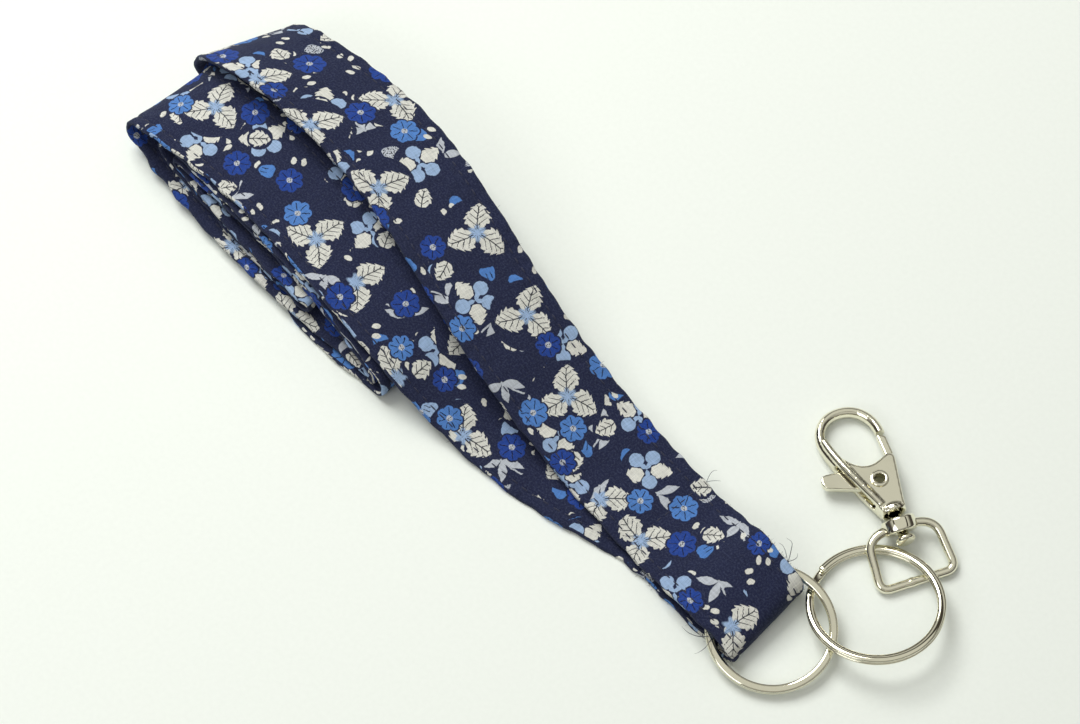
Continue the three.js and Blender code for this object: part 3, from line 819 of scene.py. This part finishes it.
def plane_frame(place, slopes, turn):
    """A frame at a place in mm, tilted to its slopes along x and y, and turned in its plane."""
    normal = Vector((-slopes[0], -slopes[1], 1)).normalized()
    tilt = Vector((0, 0, 1)).rotation_difference(normal)
    spin = tilt @ Matrix.Rotation(turn, 3, "Z").to_quaternion()
    return Matrix.Translation(Vector(CENTRE) + Vector(place)) @ spin.to_matrix().to_4x4()


def heading_frame(place, heading, slope):
    """A frame at a place in mm, whose x axis points along a heading and rises by a slope."""
    ahead = Vector((math.cos(heading), math.sin(heading), slope)).normalized()
    side = Vector((-math.sin(heading), math.cos(heading), 0))
    up = ahead.cross(side)
    basis = Matrix((ahead, side, up)).transposed().to_4x4()
    return Matrix.Translation(Vector(CENTRE) + Vector(place)) @ basis


def metal_piece(name, part, place, material, body, node=None, slot="nickel"):
    """A piece made in mm in a frame of its own. It stands for the CAD node of its name."""
    points, faces = moved(part, place)
    mesh_object(name, points * MM, faces, material, body, [node or name], slot)


RING_WIRE_HIGH, RING_WIRE_WIDE, RING_GAP = 0.95, 1.9, 0.06


def split_ring(name, radius, place, slopes, turn, material, body):
    """Flat wire wound twice round, with a short crossover and square-cut ends."""
    crossover, squareness = 0.35, 0.9
    angle = np.linspace(0, 4 * math.pi - crossover - 0.6 / radius, 420)
    rise = smooth(2 * math.pi - crossover, 2 * math.pi, angle)
    level = (rise - 0.5) * (RING_WIRE_HIGH + RING_GAP)
    around = np.linspace(0, 2 * math.pi, 18, endpoint=False)
    flat = np.sign(np.cos(around)) * np.abs(np.cos(around)) ** squareness * RING_WIRE_WIDE / 2
    tall = np.sign(np.sin(around)) * np.abs(np.sin(around)) ** squareness * RING_WIRE_HIGH / 2
    along = angle * radius
    tip = np.minimum(along, along[-1] - along)
    cut = 0.72 + 0.28 * smooth(0, 0.35, tip)
    r = radius + flat[None] * cut[:, None]
    rings = np.stack([r * np.cos(angle)[:, None], r * np.sin(angle)[:, None],
                      level[:, None] + tall[None] * cut[:, None]], 2)
    points, faces = loft(rings)
    faces = [face[::-1] for face in faces]
    metal_piece(name, (points, faces), plane_frame(place, slopes, turn), material, body)


EYE_AT = (83.6, 33.8, 4.08)
HOOK_HEADING, HOOK_SLOPE = math.radians(158.6), -0.077
D_SLOPE = -0.238
D_WIRE, WELD_AT, WELD_SWELL, WELD_LENGTH = 1.05, -1.6, 0.13, 0.45
GATE_PIVOT = (11.3, -0.4)                      # in the clasp's own frame
SPRING_RADIUS, SPRING_WIRE, SPRING_TURNS = 2.15, 0.15, 1.9


def make_d_ring(material):
    half = [bezier([(0.2, 2.2), (0.3, 6.0), (1.6, 8.1), (4.6, 8.3)], 26),
            bezier([(4.6, 8.3), (10.4, 8.7)], 10),
            bezier([(10.4, 8.7), (12.8, 8.8), (12.8, 6.4)], 14),
            bezier([(12.8, 6.4), (12.8, 0)], 12)]
    side = np.concatenate(half + [np.array([[12.8, 0, 0]])])
    path = np.concatenate([side, (side * [1, -1, 1])[-2::-1]])
    weld = bell(path[:, 1] - WELD_AT, WELD_LENGTH) * (path[:, 0] > 12)
    wire = tube(path, D_WIRE + WELD_SWELL * weld, 18)
    eye = lathe([(-1.7, 2.1), (-1.7, 3.3), (-1.62, 3.6), (-1.4, 3.84), (-1.1, 3.92), (1.1, 3.92),
                 (1.4, 3.84), (1.62, 3.6), (1.7, 3.3), (1.7, 2.1)], 56)
    frame_d = heading_frame(EYE_AT, HOOK_HEADING - math.pi, D_SLOPE)
    metal_piece("swivel_d_ring", joined([wire, eye]), frame_d, material, "d_ring")


def softened(node, name, voxel, passes, material, body, extra=()):
    """A CAD casting with its edges rounded off, as moulding and plating leave them."""
    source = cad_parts[node]
    points = np.array([source.matrix_world @ v.co for v in source.data.vertices])
    faces = [tuple(face.vertices) for face in source.data.polygons]
    points, faces = joined([(points, faces), *extra])
    mesh = bpy.data.meshes.new(name)
    mesh.from_pydata([tuple(p) for p in points], [], faces)
    thing = bpy.data.objects.new(name, mesh)
    bpy.context.scene.collection.objects.link(thing)
    remesh = thing.modifiers.new("remesh", "REMESH")
    remesh.mode, remesh.voxel_size, remesh.use_smooth_shade = "VOXEL", voxel * MM, True
    ease = thing.modifiers.new("ease", "SMOOTH")
    ease.factor, ease.iterations = 0.5, passes
    baked = bpy.data.meshes.new_from_object(
        thing.evaluated_get(bpy.context.evaluated_depsgraph_get()))
    thing.modifiers.clear()
    thing.data = baked
    baked.materials.clear()
    baked.materials.append(material)
    baked.polygons.foreach_set("use_smooth", [True] * len(baked.polygons))
    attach(thing, body)
    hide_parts(node)


def spine_rib(frame_h, level):
    """The raised rib that carries the loop on down one cheek of the clasp to its foot."""
    line = bezier([(24.5, -8.7), (20.5, -8.3), (14.0, -5.9), (4.4, -2.0)], 40) + [0, 0, level]
    swell = 1.0 + 0.25 * np.sin(np.pi * np.linspace(0, 1, 40)) ** 0.5
    points, faces = moved(tube(line, 0.8 * swell, 16), frame_h)
    return points * MM, faces


def make_hook(metal, steel):
    frame_h = heading_frame(EYE_AT, HOOK_HEADING, HOOK_SLOPE) @ Matrix.Rotation(math.pi, 4, "X")
    ribs = [spine_rib(frame_h, level) for level in (-2.1, 2.1)]
    softened("hook_body", "clasp_body", 0.15, 5, metal, "hook", ribs)
    softened("gate_lever", "clasp_gate", 0.12, 6, metal, "gate")
    pivot = Matrix.Translation((*GATE_PIVOT, 0)) @ Matrix.Rotation(-math.pi / 2, 4, "Y")
    lip = [(2.52, 1.15), (2.72, 1.2), (2.85, 1.4), (2.85, 1.75), (2.74, 2.0), (2.56, 2.08)]
    profile = [(-a, r) for a, r in lip] + [(-2.45, 1.6), (2.45, 1.6)] + lip[::-1]
    rivet = moved(lathe(profile, 48), pivot)
    metal_piece("clasp_rivet", rivet, frame_h, metal, "hook", "gate_rivet")
    post = lathe([(-4.4, 0.02), (-4.4, 1.5), (-4.3, 1.85), (-4.05, 2.15), (-3.75, 2.22),
                  (-3.45, 2.15), (-3.2, 1.85), (-2.95, 1.4), (-2.7, 1.25), (5.1, 1.25),
                  (5.1, 0.02)], 48, closed=False)
    metal_piece("swivel_post", post, frame_h, metal, "hook")
    t = np.linspace(0, 1, 120)
    turn = t * 2 * math.pi * SPRING_TURNS
    coil = np.stack([GATE_PIVOT[0] + SPRING_RADIUS * np.cos(turn),
                     GATE_PIVOT[1] + SPRING_RADIUS * np.sin(turn), 0.25 + 0.5 * t], 1)
    metal_piece("gate_spring", tube(coil, SPRING_WIRE, 8), frame_h, steel, "hook",
                slot="spring_steel")


# ---------------------------------------------------------------- floor, studio and assembly

def make_floor():
    material, tree, shader = new_material("paper_floor")
    where = tree.nodes.new("ShaderNodeTexCoord")
    grain = noise(tree, where.outputs["Object"], 900.0, 3.0)
    colour = mixed(tree, srgb(233, 237, 232), srgb(239, 243, 238), grain)
    tree.links.new(colour, shader.inputs["Base Color"])
    shader.inputs["Roughness"].default_value = 0.7
    shader.inputs["Specular IOR Level"].default_value = 0.2
    mesh = bpy.data.meshes.new("floor")
    size = 4.0
    mesh.from_pydata([(-size, -size, 0), (size, -size, 0), (size, size, 0), (-size, size, 0)],
                     [], [(0, 1, 2, 3)])
    mesh.materials.append(material)
    floor = bpy.data.objects.new("floor", mesh)
    bpy.context.scene.collection.objects.link(floor)


def light_studio():
    """A key and a fill in a room with a pale ceiling, dark walls and one dark band overhead."""
    target = Vector(CENTRE * MM)
    area_light("key", target + Vector((-0.55, 0.05, 0.75)), target,
               size=0.55, power=7.2, colour=(0.99, 1.0, 0.97))
    area_light("fill", target + Vector((0.1, -0.8, 0.7)), target,
               size=0.5, power=1.6, colour=(0.95, 0.97, 1.0))
    wall, ceiling, band = (0.09, 0.08, 0.075, 1.0), (0.86, 0.86, 0.80, 1.0), (0.07, 0.06, 0.05, 1.0)
    world = bpy.data.worlds.new("studio")
    bpy.context.scene.world = world
    world.use_nodes = True
    tree = world.node_tree
    where = tree.nodes.new("ShaderNodeTexCoord")
    split = tree.nodes.new("ShaderNodeSeparateXYZ")
    tree.links.new(where.outputs["Generated"], split.inputs[0])
    up = Wire(tree, split.outputs[2])
    sky = mixed(tree, wall, ceiling, up.more(0.5, 0.14))
    sky = mixed(tree, sky, band, abs(up - 0.74).less(0.055, 0.015))
    tree.links.new(sky, tree.nodes["Background"].inputs["Color"])
    tree.nodes["Background"].inputs["Strength"].default_value = 0.77


bpy.context.scene.view_settings.view_transform = "Standard"
place_camera()
light_studio()
make_floor()
cotton, navy_thread = cotton_material(), thread_material()
nickel = metal_material("polished_nickel", (0.83, 0.80, 0.65, 1.0), 0.06, 0.012)
spring_steel = metal_material("spring_steel", (0.5, 0.5, 0.5, 1.0), 0.3, 0.02)
make_strap(cotton)
make_stitching(navy_thread)
make_loose_threads(navy_thread)
split_ring("small_split_ring", radius=13.6, place=(83.3, -4, 3.42), slopes=(-0.088, 0.085),
           turn=2.9, material=nickel, body="small_ring")
split_ring("large_split_ring", radius=14.4, place=(93.9, 17.1, 4.18), slopes=(0.198, -0.084),
           turn=3.75, material=nickel, body="large_ring")
make_d_ring(nickel)
make_hook(nickel, spring_steel)
